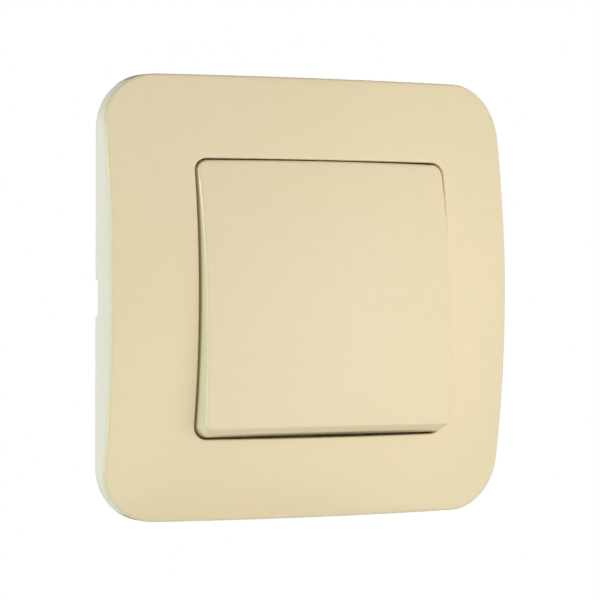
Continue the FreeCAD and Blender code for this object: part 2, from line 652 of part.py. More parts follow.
def slotted_screw(x, z, seat, end, way):
    """Cheese-head screw along Y: the shank runs from seat to end, the head the other way."""
    shank = rod(SCREW_SHANK_R, min(seat, end), max(seat, end), x, z)
    face = seat - way * SCREW_HEAD
    head = rod(SCREW_HEAD_R, min(seat, face), max(seat, face), x, z)
    rim = [e for e in head.Edges if e.Closed and abs(e.CenterOfMass.y - face) < 0.01]
    head = head.makeFillet(SCREW_HEAD_EDGE_R, rim)
    y0, y1 = sorted((face - way * BEYOND, face + way * SCREW_SLOT))
    half, reach = 0.5 * SCREW_SLOT_WIDTH, SCREW_HEAD_R + BEYOND
    slot = block(x - half, x + half, y0, y1, z - reach, z + reach)
    return shank.fuse(head).cut(slot).removeSplitter()


def terminal_screw(side):
    z_mid = 0.5 * (CAGE_LOW_Z + CAGE_HIGH_Z)
    tip = STRIP_FRONT + STRIP_THICK + FACE_GAP
    return slotted_screw(side * TERMINAL_X, z_mid, SCREW_SHELF + FACE_GAP, tip, -1)


def claw_screw(side):
    return slotted_screw(side * CLAW_SCREW_X, 0, -STRAP_THICK - FACE_GAP, CLAW_SCREW_END, 1)


def claw_nut(side):
    rear = CLAW_WEB_FRONT + CLAW_WEB_THICK + FACE_GAP
    x = side * CLAW_SCREW_X
    nut = block(x - NUT_HALF, x + NUT_HALF, rear, rear + NUT_THICK, -NUT_HALF, NUT_HALF)
    nut = nut.makeChamfer(NUT_CHAMFER, edges_along_y(nut))
    return nut.cut(rod(THREAD_R, rear - BEYOND, rear + NUT_THICK + BEYOND, x, 0))


def claw(side):
    """Pressed claw: two toothed cheeks joined by a web that straddles the screw."""
    ramp_x = BASE_HALF + RAMP_GAP
    knee_y = RAMP_FOOT_Y - (CLAW_INNER_X - ramp_x) / CLAW_SLOPE
    front_x = ramp_x + CLAW_SLOPE * (RAMP_FOOT_Y - CLAW_FRONT)
    outline = [
        point(CLAW_INNER_X, CLAW_REAR, 0), point(CLAW_INNER_X, knee_y, 0), point(front_x, CLAW_FRONT, 0),
    ]
    for tooth in range(TEETH):
        y = CLAW_FRONT + tooth * TOOTH_PITCH
        outline.append(point(CLAW_OUTER_X, y, 0))
        outline.append(point(CLAW_OUTER_X - TOOTH_DEPTH, y + TOOTH_PITCH, 0))
    outline.append(point(CLAW_OUTER_X - TOOTH_DEPTH, CLAW_REAR, 0))
    upper, lower = claw_cheeks(outline)
    web = block(CLAW_INNER_X, CLAW_OUTER_X - TOOTH_DEPTH, CLAW_WEB_FRONT, CLAW_WEB_FRONT + CLAW_WEB_THICK,
                -CLAW_CHEEK_OUT, CLAW_CHEEK_OUT)
    web = web.cut(block(CLAW_INNER_X - BEYOND, CLAW_SCREW_X + SCREW_PASS_R, CLAW_WEB_FRONT - BEYOND,
                        CLAW_WEB_FRONT + CLAW_WEB_THICK + BEYOND, -SCREW_PASS_R, SCREW_PASS_R))
    body = web.fuse(upper).fuse(lower).removeSplitter()
    return body if side > 0 else mirrored(body)


NODES = {
    "cover_frame": cover_frame(),
    "rocker_key": rocker_key(),
    "rocker_carrier": rocker_carrier(),
    "plunger": plunger(),
    "plunger_spring": plunger_spring(),
    "mounting_strap": mounting_strap(),
    "mechanism_base": mechanism_base(),
    "mechanism_cover": mechanism_cover(),
    "housing_rivets": housing_rivets(),
    "contact_rocker": contact_rocker(),
    "moving_contact_tip": moving_contact_tip(),
    "fixed_contact_tip": fixed_contact_tip(),
    "common_terminal_strip": common_terminal_strip(),
    "load_terminal_strip": load_terminal_strip(),
}
for name, side in (("common", -1), ("load", 1)):
    NODES["terminal_cage_" + name] = terminal_cage(side)
    NODES["terminal_screw_" + name] = terminal_screw(side)
for name, side in (("left", -1), ("right", 1)):
    NODES["claw_" + name] = claw(side)
    NODES["claw_nut_" + name] = claw_nut(side)
    NODES["claw_screw_" + name] = claw_screw(side)

os.makedirs("parts", exist_ok=True)
for name, shape in NODES.items():
    shape.exportStep("parts/" + name + ".step")
    print(name, "valid", shape.isValid(), "solids", len(shape.Solids), "volume", round(shape.Volume, 1))
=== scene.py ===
import json
import math

import bmesh
import bpy
from mathutils import Matrix, Quaternion, Vector

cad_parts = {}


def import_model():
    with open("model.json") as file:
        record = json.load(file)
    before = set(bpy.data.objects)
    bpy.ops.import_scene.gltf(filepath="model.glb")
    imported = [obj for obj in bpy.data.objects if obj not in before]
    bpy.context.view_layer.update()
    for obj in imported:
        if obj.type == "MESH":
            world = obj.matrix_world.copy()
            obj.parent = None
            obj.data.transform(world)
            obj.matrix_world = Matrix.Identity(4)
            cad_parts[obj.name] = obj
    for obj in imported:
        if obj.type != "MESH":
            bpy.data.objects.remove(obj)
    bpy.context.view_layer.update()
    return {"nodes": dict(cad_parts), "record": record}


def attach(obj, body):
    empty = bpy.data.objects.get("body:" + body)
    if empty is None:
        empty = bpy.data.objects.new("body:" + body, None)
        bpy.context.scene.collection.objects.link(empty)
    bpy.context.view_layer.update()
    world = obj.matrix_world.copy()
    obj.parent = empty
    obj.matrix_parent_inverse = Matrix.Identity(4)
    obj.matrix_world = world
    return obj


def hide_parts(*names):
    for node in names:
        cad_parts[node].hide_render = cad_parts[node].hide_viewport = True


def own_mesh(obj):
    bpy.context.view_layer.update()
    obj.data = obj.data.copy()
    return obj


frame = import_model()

# Flush wall switch: camera, finishes, detailed pieces and studio.
# The CAD frame is kept: X right, Y into the wall, Z up. Meshes are built in millimetres
# and scaled to metres when they become objects.
MM = 0.001

# ---- camera ----
CAMERA_AZIMUTH = -25.92
CAMERA_ELEVATION = 0.63
CAMERA_DISTANCE = 0.5105
CAMERA_ROLL = 0.167
CAMERA_LENS = 162.3           # on a 36 mm sensor
AIM_RIGHT = 0.42 * MM         # the camera aims this far beside the origin
AIM_UP = -0.50 * MM

# ---- cover frame and key, in millimetres ----
# The values are the CAD source's own, apart from those with a comment that says otherwise.
PLATE_HALF = 41.0
PLATE_CORNER_R = 10.0
SIDE_DRAFT = 0.02             # inset of a side wall per millimetre of height
FRAME_CROWN = 15.15           # height of the frame's dome over the middle of its opening
BOW_X = 0.00447
BOW_Z = 0.00412
BOW_XZ = 0.40e-6
FRAME_WALL = 2.0
FRAME_EDGE_R = 0.8
SIDE_TOP = 3.9                # the side wall's middle rings stay below this, so that they stay
                              # below the front rounding at the corners too
OPENING_HALF_X = 25.6         # 0.2 narrower on each side than the CAD opening
OPENING_HALF_Z = 25.6
OPENING_CORNER_R = 2.4
OPENING_EDGE_R = 0.3
SLEEVE_WALL = 1.5
SLEEVE_REAR = -5.5
NOTCH_HALF = 3.7
NOTCH_DEPTH = 1.1
NOTCH_SLOPE = 0.7
LEG_X = 7.5
LEG_WIDTH = 5.0
LEG_INNER_Z = 25.95
LEG_OUTER_Z = 27.15
LEG_REAR = 1.7
LEG_LEAD = 0.4
BARB_OUTER_Z = 27.95
BARB_FRONT = 0.25
BARB_REAR = 0.9
RIB_PLACES = (-20.0, 20.0)
RIB_THICK = 1.0
RIB_REAR = -2.2
PIVOT_Y = -8.5
REST_TILT = -4.6
KEY_PROUD = 2.25
KEY_HALF_X = 25.3
KEY_HALF_Z = 25.15
KEY_CORNER_R = 2.2
KEY_REAR = -6.4
KEY_WALL = 1.8
KEY_EDGE_R = 0.7
KEY_INNER_EXTRA_R = 0.4       # extra radius of the corners inside the key
KEY_INNER_TOP = 12.5          # height at which the key's inside turns from wall to dome
BEVEL_HEIGHT = 0.9            # 0.1 lower than the CAD bevel
BEVEL_DEPTH = 1.5
FLARE = 0.25                  # the key's lower wall is this much wider than in the CAD
FLARE_HEIGHT = 9.6            # from its rear rim up to this height, below the bevel
FLARE_POWER = 4               # how quickly it fades round the key's corners
BEVEL_FLARE = 0.2             # share of it at the bevel's outer edge
OPENING_DROP = 0.13           # how much lower than in the CAD the opening's lower edge lies
TOP_DROP = 0.15               # and the upper edges of opening and key
BEVEL_SOFT = 0.3              # how far the bevel's edges are rounded
BEVEL_FADE = (0.1, 0.8)       # start and length of its fade, as shares of the turn side to bottom
RIM_R = 0.18                  # rounding of the rear rims of frame, collar and key
RIM_MIDDLE = 0.05             # its middle point lies this far inside both faces
CARRIER_HALF_X = 13.4
CARRIER_HALF_Z = 9.0
CARRIER_FRONT = -12.5
CARRIER_REAR = -10.6
KEY_RIB_Z = 6.0
KEY_RIB_THICK = 1.2
POST_X = 8.0
POST_WIDTH = 4.0
POST_THICK = 1.6
POST_REAR = -9.3
POST_GAP = 0.05
POST_HOOK = 0.6
POST_HOOK_LAND = 0.4
POST_LEAD = 0.3
POST_ROOT = 0.8               # allows for the dome's fall where the posts stand
LEG_SOFT = 0.08               # rounding of the frame legs' edges
POST_SOFT = 0.06              # and of the key's posts and ribs

# ---- pieces behind the key, in millimetres; a comment says where they aren't the CAD's ----
PLUNGER_R = 2.42
PLUNGER_FRONT = -5.4
PLUNGER_SHOULDER = 1.2
PLUNGER_TIP_R = 1.6
PLUNGER_TIP = 4.85
PLUNGER_NECK = 0.4
PLUNGER_SOFT = 0.25           # rounding of its shoulder
SPRING_FRONT = -10.95         # flat ends of the spring
SPRING_REAR = -5.45
SPRING_R = 1.9
SPRING_WIRE_R = 0.31          # 0.32 in the CAD
SPRING_TURNS = 6.5            # 5 in the CAD, where none are closed
SPRING_CLOSED = 1.0           # turns at each end that lie wire on wire
SPRING_GROUND = 0.4           # the wire's middle to the ground end, in wire radii
SPRING_WIRE_GAP = 1.02        # pitch of the closed turns, in wire diameters
CONTACT_PIVOT_Y = 5.8
CONTACT_REST_TILT = 6.0
CONTACT_TIP_Z = 7.5
MOVING_TIP_R = 1.5
MOVING_TIP_THICK = 0.8
FIXED_TIP_R = 1.75
FIXED_TIP_FRONT = 7.65
TIP_DOME = 0.3                # height of a contact tip's domed face
TIP_SOFT = 0.1                # rounding of its edge
STRIP_FRONT = 8.6
RIVET_PLACE = 16.9
RIVET_R = 1.25
RIVET_HEAD_R = 2.1
RIVET_HEAD = 0.8
RIVET_RIM = 0.2               # straight rim below the domed head
RIVET_DOME_ARC = math.radians(52)
RIVET_ROLL = ((RIVET_HEAD_R, 0.2), (1.85, 0.55), (1.45, 0.75), (1.1, RIVET_HEAD),
              (0.85, 0.7), (0.7, 0.45), (0.45, 0.2), (0, 0.15))    # radius, depth behind the base
COVER_FRONT = -3.0
BASE_DEPTH = 22.0
TERMINAL_X = 12.0
TERMINAL_Z = -12.9
TERMINAL_SCREW_SEAT = 18.55
TERMINAL_SCREW_TIP = 9.65
CLAW_SCREW_X = 23.0
CLAW_SCREW_SEAT = -1.05
CLAW_SCREW_TIP = 24.0
SHANK_R = 1.75                # crest of the thread
THREAD_ROOT_R = 1.38
THREAD_PITCH = 0.6
THREAD_PLACES = (0.0, 0.25, 0.5625, 0.6875)   # root and crest flats, as shares of the pitch
SHOULDER = 0.9                # plain shank under a screw's head
THREAD_OVERLAP = 0.4          # the threaded rod starts in the shank, this far from the seat
THREAD_CHAMFER = 0.3          # chamfer at the rod's tip
SCREW_SOFT = 0.05             # rounding of the head's edges
HOLE_LINES_X = (-TERMINAL_X, TERMINAL_X)      # lines that cross every hole and rib in a flat face
HOLE_LINES_Z = (-30.0, -26.7, -RIVET_PLACE, TERMINAL_Z, -3.6, 0.0, 3.6, RIVET_PLACE, 26.7, 30.0)

# ---- mesh fineness ----
MERGE_WITHIN = 0.0005         # points closer than this, in millimetres, become one
CUT_WITHIN = 0.001            # points this close to a cut count as on it
SOFTEN_ABOVE = 30             # edges that turn more than this, in degrees, are rounded
SHELL_SHARP = 30.0            # edges that turn more than this shade as sharp: frame and key
PIECE_SHARP = 35.0            # and all other pieces
CORNER_STEPS = 14             # steps round a quarter turn
SIDE_STEPS = 22               # steps along a straight side
EDGE_STEPS = 7                # steps across a rounded edge
DOME_STEPS = 22               # rings across a dome
RIM_STEPS = 3                 # steps round the side wall's rear rim
BEVEL_POINTS = 5              # points round each of the bevel's two edges
DOME_END_STEPS = 8            # rings across a rivet's or a contact tip's dome
PLUNGER_TIP_STEPS = 12
TURN_STEPS = 64               # steps round a turned piece
THREAD_STEPS = 40
COIL_STEPS = 36               # steps along one turn of the spring
WIRE_STEPS = 14               # steps round its wire

BODIES = frame["record"]["behaviour"]["bodies"]
BODY_OF = {node: body for body, nodes in BODIES.items() for node in nodes}
SLOT_OF = {row["node"]: row["material_slot"] for row in frame["record"]["subparts"]}


def camera():
    azimuth = math.radians(CAMERA_AZIMUTH)
    elevation = math.radians(CAMERA_ELEVATION)
    back = Vector((math.sin(azimuth) * math.cos(elevation),
                   -math.cos(azimuth) * math.cos(elevation),
                   math.sin(elevation)))
    right = Vector((math.cos(azimuth), math.sin(azimuth), 0))
    up = back.cross(right)
    place = back * CAMERA_DISTANCE
    aim = right * AIM_RIGHT + up * AIM_UP
    data = bpy.data.cameras.new("camera")
    data.sensor_width = 36
    data.lens = CAMERA_LENS
    data.clip_start = 0.01
    data.clip_end = 10
    cam = bpy.data.objects.new("camera", data)
    bpy.context.scene.collection.objects.link(cam)
    look = (aim - place).to_track_quat("-Z", "Y")
    roll = Quaternion((0, 0, 1), math.radians(CAMERA_ROLL))
    cam.rotation_mode = "QUATERNION"
    cam.rotation_quaternion = look @ roll
    cam.location = place
    bpy.context.scene.camera = cam


camera()


# ---------------------------------------------------------------- materials

class Finish:
    """A procedural material: a Principled shader and short helpers for the nodes before it."""

    def __init__(self, name, roughness, metallic=0.0):
        self.material = bpy.data.materials.new(name)
        self.material.use_nodes = True
        self.tree = self.material.node_tree
        self.shader = self.tree.nodes["Principled BSDF"]
        self.shader.inputs["Roughness"].default_value = roughness
        self.shader.inputs["Metallic"].default_value = metallic
        self.place = self.node("ShaderNodeTexCoord").outputs["Object"]

    def node(self, kind, **settings):
        made = self.tree.nodes.new(kind)
        for name, value in settings.items():
            setattr(made, name, value)
        return made

    def link(self, source, target):
        self.tree.links.new(source, target)

    def stretched(self, scale):
        """The object's coordinates, in metres, scaled along each axis."""
        mapping = self.node("ShaderNodeMapping")
        mapping.inputs["Scale"].default_value = scale
        self.link(self.place, mapping.inputs["Vector"])
        return mapping.outputs["Vector"]

    def noise(self, scale, detail=2.0, stretch=None):
        """Noise value; scale counts its features per metre."""
        made = self.node("ShaderNodeTexNoise")
        made.inputs["Scale"].default_value = scale
        made.inputs["Detail"].default_value = detail
        self.link(self.stretched(stretch) if stretch else self.place, made.inputs["Vector"])
        return made.outputs["Fac"]

    def cells(self, scale):
        made = self.node("ShaderNodeTexVoronoi")
        made.inputs["Scale"].default_value = scale
        self.link(self.place, made.inputs["Vector"])
        return made.outputs["Distance"]

    def ramp(self, value, stops):
        """Colours at places along a 0 to 1 value."""
        made = self.node("ShaderNodeValToRGB")
        elements = made.color_ramp.elements
        while len(elements) < len(stops):
            elements.new(0.5)
        for element, (position, colour) in zip(elements, stops):
            element.position = position
            element.color = (*colour, 1)
        self.link(value, made.inputs["Fac"])
        return made.outputs["Color"]

    def spread(self, value, low, high):
        """The value from 0.3 to 0.7, where most noise lies, mapped to low to high."""
        made = self.node("ShaderNodeMapRange")
        made.inputs["From Min"].default_value = 0.3
        made.inputs["From Max"].default_value = 0.7
        made.inputs["To Min"].default_value = low
        made.inputs["To Max"].default_value = high
        self.link(value, made.inputs["Value"])
        return made.outputs["Result"]

    def mixed(self, amount, first, second):
        made = self.node("ShaderNodeMix", data_type="RGBA")
        self.link(amount, made.inputs[0])
        self.link(first, made.inputs[6])
        self.link(second, made.inputs[7])
        return made.outputs[2]

    def colour(self, source):
        self.link(source, self.shader.inputs["Base Color"])

    def roughness(self, source):
        self.link(source, self.shader.inputs["Roughness"])

    def bump(self, layers):
        """Layers of (height value, depth in metres, strength), the coarsest first."""
        normal = None
        for height, depth, strength in layers:
            made = self.node("ShaderNodeBump")
            made.inputs["Distance"].default_value = depth
            made.inputs["Strength"].default_value = strength
            self.link(height, made.inputs["Height"])
            if normal:
                self.link(normal, made.inputs["Normal"])
            normal = made.outputs["Normal"]
        self.link(normal, self.shader.inputs["Normal"])


def cream_plastic():
    """Glossy moulded cream: faint cloudy colour, mottling, moulding ripple, thin gloss coat."""
    finish = Finish("cream_plastic", 0.24)
    cloud = finish.noise(38, 3)
    mottle = finish.noise(420, 2)
    base = finish.ramp(cloud, [(0.30, (0.806, 0.676, 0.432)), (0.50, (0.816, 0.690, 0.444)),
                               (0.70, (0.826, 0.694, 0.452))])
    flecked = finish.ramp(cloud, [(0.30, (0.794, 0.676, 0.428)), (0.70, (0.812, 0.682, 0.440))])
    finish.colour(finish.mixed(finish.spread(mottle, 0.0, 1.0), base, flecked))
    finish.roughness(finish.spread(finish.noise(150, 3), 0.20, 0.265))
    finish.shader.inputs["IOR"].default_value = 1.5
    finish.shader.inputs["Coat Weight"].default_value = 0.25
    finish.shader.inputs["Coat Roughness"].default_value = 0.08
    finish.bump([(finish.noise(260, 2), 0.00001, 0.1), (finish.noise(2400, 2), 0.000003, 0.15)])
    return finish.material


def white_plastic():
    """Satin polyamide with a fine spark-eroded texture."""
    finish = Finish("white_plastic", 0.42)
    finish.colour(finish.ramp(finish.noise(60, 4), [(0.3, (0.73, 0.72, 0.67)),
                                                    (0.7, (0.80, 0.79, 0.75))]))
    finish.roughness(finish.spread(finish.noise(700, 3), 0.36, 0.52))
    finish.bump([(finish.noise(1800, 3), 0.00003, 0.35), (finish.cells(3800), 0.00001, 0.3)])
    return finish.material


def grey_plastic():
    """Matte thermoset with mineral specks and a grained surface."""
    finish = Finish("grey_plastic", 0.6)
    body = finish.ramp(finish.noise(70, 4), [(0.3, (0.205, 0.212, 0.222)),
                                             (0.7, (0.245, 0.252, 0.262))])
    specks = finish.ramp(finish.noise(3000, 1), [(0.3, (0.17, 0.176, 0.185)),
                                                 (0.68, (0.23, 0.237, 0.247)),
                                                 (0.76, (0.42, 0.42, 0.42))])
    finish.colour(finish.mixed(finish.spread(finish.noise(900, 2), 0.2, 0.8), body, specks))
    finish.roughness(finish.spread(finish.noise(800, 3), 0.5, 0.68))
    finish.bump([(finish.noise(1500, 4), 0.00004, 0.4), (finish.cells(4200), 0.000015, 0.35)])
    return finish.material


def red_plastic():
    """Glossy red nylon with a slight grain."""
    finish = Finish("red_plastic", 0.35)
    finish.colour(finish.ramp(finish.noise(300, 3), [(0.3, (0.46, 0.045, 0.03)),
                                                     (0.7, (0.56, 0.065, 0.045))]))
    finish.roughness(finish.spread(finish.noise(900, 2), 0.28, 0.42))
    finish.bump([(finish.noise(1600, 3), 0.00002, 0.3)])
    return finish.material


def zinc_steel():
    """Blue-bright zinc on rolled sheet: long rolling lines, cloudy passivation, dull spots."""
    finish = Finish("zinc_steel", 0.3, 1.0)
    rolled = finish.noise(1, 4, (120, 4200, 4200))
    cloud = finish.noise(90, 4)
    bright = finish.ramp(rolled, [(0.35, (0.54, 0.57, 0.61)), (0.65, (0.68, 0.70, 0.73))])
    tinted = finish.ramp(rolled, [(0.35, (0.55, 0.55, 0.53)), (0.65, (0.70, 0.69, 0.64))])
    finish.colour(finish.mixed(finish.spread(cloud, 0.0, 0.9), bright, tinted))
    finish.roughness(finish.spread(finish.noise(350, 4), 0.29, 0.45))
    finish.bump([(finish.noise(500, 3), 0.00002, 0.25), (rolled, 0.000008, 0.4)])
    return finish.material


def zinc_screw():
    """Zinc plated screw steel: small crystals and turning marks."""
    finish = Finish("zinc_screw", 0.32, 1.0)
    crystals = finish.cells(2600)
    finish.colour(finish.ramp(crystals, [(0.1, (0.66, 0.68, 0.71)), (0.6, (0.52, 0.54, 0.58))]))
    finish.roughness(finish.spread(finish.noise(1100, 3), 0.29, 0.44))
    finish.bump([(finish.noise(1300, 3), 0.00002, 0.3), (crystals, 0.000008, 0.3)])
    return finish.material


def nickel_brass():
    """Nickel plated brass: clouded, slightly warm."""
    finish = Finish("nickel_brass", 0.25, 1.0)
    finish.colour(finish.ramp(finish.noise(500, 3), [(0.3, (0.60, 0.56, 0.47)),
                                                     (0.7, (0.72, 0.69, 0.61))]))
    finish.roughness(finish.spread(finish.noise(900, 3), 0.29, 0.40))
    finish.bump([(finish.noise(1500, 3), 0.00002, 0.3)])
    return finish.material


def contact_brass():
    """Stamped brass strip: rolling grain and brown tarnish clouds."""
    finish = Finish("contact_brass", 0.28, 1.0)
    grain = finish.noise(1, 3, (5200, 5200, 200))
    clean = finish.ramp(grain, [(0.35, (0.70, 0.50, 0.20)), (0.65, (0.84, 0.64, 0.30))])
    tarnished = finish.ramp(grain, [(0.35, (0.46, 0.29, 0.12)), (0.65, (0.60, 0.41, 0.18))])
    finish.colour(finish.mixed(finish.spread(finish.noise(240, 4), -0.1, 0.55), clean, tarnished))
    finish.roughness(finish.spread(finish.noise(400, 3), 0.29, 0.44))
    finish.bump([(finish.noise(700, 2), 0.00002, 0.2), (grain, 0.000006, 0.4)])
    return finish.material


def contact_silver():
    """Contact silver with tarnish clouds and fine pitting."""
    finish = Finish("contact_silver", 0.3, 1.0)
    finish.colour(finish.ramp(finish.noise(700, 4), [(0.3, (0.66, 0.63, 0.58)),
                                                     (0.7, (0.86, 0.85, 0.83))]))
    finish.roughness(finish.spread(finish.noise(1200, 3), 0.29, 0.46))
    finish.bump([(finish.noise(2200, 3), 0.00002, 0.35)])
    return finish.material


def spring_steel():
    """Drawn spring wire: dark and bright drawing lines."""
    finish = Finish("spring_steel", 0.22, 1.0)
    drawn = finish.noise(1, 3, (2200, 9000, 2200))
    finish.colour(finish.ramp(drawn, [(0.35, (0.36, 0.36, 0.38)), (0.65, (0.56, 0.56, 0.57))]))
    finish.roughness(finish.spread(finish.noise(900, 3), 0.29, 0.38))
    finish.bump([(drawn, 0.000008, 0.4)])
    return finish.material


FINISHES = {make.__name__: make() for make in (
    cream_plastic, white_plastic, grey_plastic, red_plastic, zinc_steel, zinc_screw,
    nickel_brass, contact_brass, contact_silver, spring_steel)}


# ---------------------------------------------------------------- mesh helpers

def show(bm, name, node, sharp=PIECE_SHARP):
    """Turns a mesh in millimetres into a piece that replaces the CAD node and rides on its body."""
    bmesh.ops.recalc_face_normals(bm, faces=bm.faces)
    bm.transform(Matrix.Scale(MM, 4))
    mesh = bpy.data.meshes.new(name)
    bm.to_mesh(mesh)
    bm.free()
    mesh.polygons.foreach_set("use_smooth", [True] * len(mesh.polygons))
    mesh.set_sharp_from_angle(angle=math.radians(sharp))
    mesh.materials.append(FINISHES[SLOT_OF[node]])
    made = bpy.data.objects.new(name, mesh)
    bpy.context.scene.collection.objects.link(made)
    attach(made, BODY_OF[node])
    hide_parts(node)
    return made


def side_stations(half, extra=()):
    """Places along a straight side of the given half length, as shares of it."""
    shares = {round(2 * i / SIDE_STEPS - 1, 6) for i in range(1, SIDE_STEPS)}
    shares.update(round(place / half, 6) for place in extra)
    return sorted(shares)


def outline(half_x, half_z, radius, stations):
    """Points (x, z) and outward normals round a rectangle with round corners."""
    points = []
    for quarter, (sx, sz) in enumerate(((1, 1), (-1, 1), (-1, -1), (1, -1))):
        for i in range(CORNER_STEPS + 1):
            angle = 0.5 * math.pi * (quarter + i / CORNER_STEPS)
            nx, nz = math.cos(angle), math.sin(angle)
            x = sx * (half_x - radius) + radius * nx
            z = sz * (half_z - radius) + radius * nz
            points.append((x, z, nx, nz))
        angle = 0.5 * math.pi * (quarter + 1)
        nx, nz = round(math.cos(angle)), round(math.sin(angle))
        along_x, along_z = -nz, nx
        for share in stations:
            x = nx * half_x + along_x * share * (half_x - radius)
            z = nz * half_z + along_z * share * (half_z - radius)
            points.append((x, z, nx, nz))
    return points


def dome(crown, x, z):
    return crown - BOW_X * x ** 2 - BOW_Z * z ** 2 + BOW_XZ * x ** 2 * z ** 2


def slope_inward(x, z, nx, nz):
    """Rise of the dome per millimetre inward, against the outward normal."""
    dx = -2 * BOW_X * x + 2 * BOW_XZ * x * z ** 2
    dz = -2 * BOW_Z * z + 2 * BOW_XZ * z * x ** 2
    return -(dx * nx + dz * nz)


def loft(bm, rings, loop=False, caps=()):
    """Quads between rings of (x, height, z); caps are centre points for the first or last ring."""
    rows = [[bm.verts.new((x, -height, z)) for x, height, z in ring] for ring in rings]
    count = len(rows[0])
    pairs = list(zip(rows, rows[1:]))
    if loop:
        pairs.append((rows[-1], rows[0]))
    for first, second in pairs:
        for i in range(count):
            j = (i + 1) % count
            bm.faces.new((first[i], first[j], second[j], second[i]))
    for row, centre in caps:
        tip = bm.verts.new((centre[0], -centre[1], centre[2]))
        ring = rows[row]
        for i in range(count):
            bm.faces.new((ring[i], ring[(i + 1) % count], tip))
    return rows


def prism(bm, points, path, soft=0.0):
    """Closed prism over a polygon, with its edges rounded by soft."""
    start = [bm.verts.new(p) for p in points]
    end = [bm.verts.new(Vector(p) + Vector(path)) for p in points]
    faces = [bm.faces.new(start), bm.faces.new(end[::-1])]
    for i in range(len(points)):
        j = (i + 1) % len(points)
        faces.append(bm.faces.new((start[j], start[i], end[i], end[j])))
    if soft:
        edges = list(dict.fromkeys(edge for face in faces for edge in face.edges))
        bmesh.ops.bevel(bm, geom=edges, offset=soft, segments=2, profile=0.5, affect="EDGES")


def eased(points, reach):
    """The profile with each inner corner rounded off over reach millimetres of both sides."""
    out = [points[0]]
    for before, corner, after in zip(points, points[1:], points[2:]):
        a, b, c = Vector(before), Vector(corner), Vector(after)
        start = b + (a - b).normalized() * min(reach, 0.5 * (a - b).length)
        end = b + (c - b).normalized() * min(reach, 0.5 * (c - b).length)
        for i in range(4):
            t = i / 3
            out.append(tuple(start * (1 - t) ** 2 + b * 2 * t * (1 - t) + end * t * t))
    out.append(points[-1])
    return out


def turned(bm, profile, x=0.0, z=0.0):
    """Solid turned about the line along Y through (x, z); the profile is (radius, y) points."""
    rings = []
    for radius, y in profile[1:-1]:
        rings.append([])
        for i in range(TURN_STEPS):
            angle = 2 * math.pi * i / TURN_STEPS
            rings[-1].append((x + radius * math.cos(angle), -y, z + radius * math.sin(angle)))
    loft(bm, rings, caps=((0, (x, -profile[0][1], z)), (-1, (x, -profile[-1][1], z))))


def tilt(bm, degrees, pivot_y):
    turn = Matrix.Rotation(math.radians(degrees), 3, "X")
    bmesh.ops.rotate(bm, verts=bm.verts, cent=(0, pivot_y, 0), matrix=turn)


def parted(bm, axis, places):
    """Cuts the mesh's faces across the axis, so that a flat face with holes becomes simple ones."""
    for place in places:
        geometry = list(bm.verts) + list(bm.edges) + list(bm.faces)
        cut = bmesh.ops.bisect_plane(bm, geom=geometry, plane_co=axis * place, plane_no=axis,
                                     dist=CUT_WITHIN)
        for item in cut["geom_cut"]:
            if isinstance(item, bmesh.types.BMEdge):
                item.seam = True


def softened(node, width):
    """The CAD node's mesh in millimetres, with flat faces joined and outer edges rounded."""
    source = frame["nodes"][node].data.copy()
    source.attributes.remove(source.attributes["custom_normal"])
    bm = bmesh.new()
    bm.from_mesh(source)
    bpy.data.meshes.remove(source)
    bm.transform(Matrix.Scale(1 / MM, 4))
    bmesh.ops.remove_doubles(bm, verts=bm.verts, dist=MERGE_WITHIN)
    parted(bm, Vector((1, 0, 0)), HOLE_LINES_X)
    parted(bm, Vector((0, 0, 1)), HOLE_LINES_Z)
    bmesh.ops.dissolve_limit(bm, angle_limit=math.radians(1), verts=bm.verts, edges=bm.edges,
                             delimit={"SEAM"})
    limit = math.radians(SOFTEN_ABOVE)
    sharp = [edge for edge in bm.edges if edge.calc_face_angle_signed(0) > limit]
    bmesh.ops.bevel(bm, geom=sharp, offset=width, segments=2, profile=0.5, affect="EDGES")
    return bm


def mix_rings(first, second, share):
    return [tuple(a + (b - a) * share for a, b in zip(p, q)) for p, q in zip(first, second)]


def smooth_step(value):
    value = min(1.0, max(0.0, value))
    return value * value * (3 - 2 * value)


# ---------------------------------------------------------------- cover frame

def frame_side_height(x, z):
    """Height of the rear rim: zero, but for the prying notches left and right."""
    if abs(x) < PLATE_HALF - 3 * FRAME_WALL:
        return 0.0
    return NOTCH_DEPTH * min(1.0, max(0.0, (NOTCH_HALF - abs(z)) / NOTCH_SLOPE))


def frame_outer_edge(stations):
    """Rings from the rear rim up the side and round the front edge."""
    rings = []
    for step in range(RIM_STEPS + 1):
        turn = 0.5 * math.pi * step / RIM_STEPS
        inset = RIM_R * (1 - math.sin(turn))
        ring = []
        half = PLATE_HALF - inset
        for x, z, nx, nz in outline(half, half, PLATE_CORNER_R - inset, stations):
            ring.append((x, frame_side_height(x, z) + RIM_R * (1 - math.cos(turn)), z))
        rings.append(ring)
    base = outline(PLATE_HALF, PLATE_HALF, PLATE_CORNER_R, stations)
    for share in (0.35, 0.7):
        rings.append([])
        for x, z, nx, nz in base:
            rim = frame_side_height(x, z) + RIM_R
            height = rim + (SIDE_TOP - rim) * share
            inset = SIDE_DRAFT * height
            rings[-1].append((x - inset * nx, height, z - inset * nz))
    for step in range(EDGE_STEPS + 1):
        ring = []
        for x, z, nx, nz in base:
            rise = slope_inward(x, z, nx, nz)
            edge = dome(FRAME_CROWN, x, z)
            centre = edge + rise * FRAME_EDGE_R - FRAME_EDGE_R * math.hypot(1, rise)
            turn = (0.5 * math.pi - math.atan(rise)) * step / EDGE_STEPS
            inset = SIDE_DRAFT * centre + FRAME_EDGE_R * (1 - math.cos(turn))
            ring.append((x - inset * nx, centre + FRAME_EDGE_R * math.sin(turn), z - inset * nz))
        rings.append(ring)
    return rings


